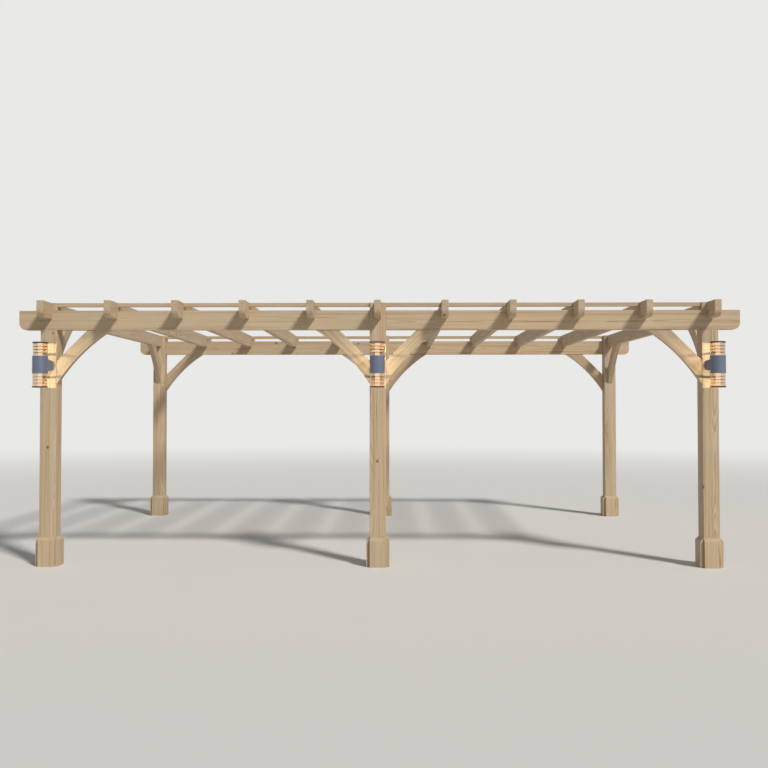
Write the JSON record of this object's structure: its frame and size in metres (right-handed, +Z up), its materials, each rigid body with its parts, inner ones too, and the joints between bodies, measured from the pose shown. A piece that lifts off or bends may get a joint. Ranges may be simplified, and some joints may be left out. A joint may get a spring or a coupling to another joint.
{
  "type": "timber pergola",
  "caption": "Free-standing open timber pergola of two bays, with notched rafters across two beams, curved braces, boarded post feet and wall lamps on the front posts.",
  "frame": {"origin": "on the ground, in the middle of the overall box", "axes": "+X along the beams to the right as seen from the lamp side, +Y from the lamp side to the back, +Z up"},
  "size_m": [6.65, 4.6428, 2.432],
  "materials": {
    "timber": "planed pale timber with fine straight grain",
    "lamp_metal": "smooth slate blue-grey",
    "lamp_glass": "frosted light tube"
  },
  "bodies": {
    "root": {"post_front_left": "timber", "post_front_centre": "timber", "post_front_right": "timber", "post_back_left": "timber", "post_back_centre": "timber", "post_back_right": "timber", "foot_boards_front_left": "timber", "foot_boards_front_centre": "timber", "foot_boards_front_right": "timber", "foot_boards_back_left": "timber", "foot_boards_back_centre": "timber", "foot_boards_back_right": "timber", "beam_front_left": "timber", "beam_front_right": "timber", "beam_back_left": "timber", "beam_back_right": "timber", "rafter_01": "timber", "rafter_02": "timber", "rafter_03": "timber", "rafter_04": "timber", "rafter_05": "timber", "rafter_06": "timber", "rafter_07": "timber", "rafter_08": "timber", "rafter_09": "timber", "rafter_10": "timber", "rafter_11": "timber", "battens_front": "timber", "battens_back": "timber", "beam_brace_front_left_outer": "timber", "beam_brace_front_left_inner": "timber", "beam_brace_front_right_inner": "timber", "beam_brace_front_right_outer": "timber", "beam_brace_back_left_outer": "timber", "beam_brace_back_left_inner": "timber", "beam_brace_back_right_inner": "timber", "beam_brace_back_right_outer": "timber", "rafter_brace_front_left": "timber", "rafter_brace_front_centre": "timber", "rafter_brace_front_right": "timber", "rafter_brace_back_left": "timber", "rafter_brace_back_centre": "timber", "rafter_brace_back_right": "timber", "lamp_shades": "lamp_metal", "lamp_caps": "lamp_metal", "lamp_glass": "lamp_glass"}
  },
  "joints": []
}
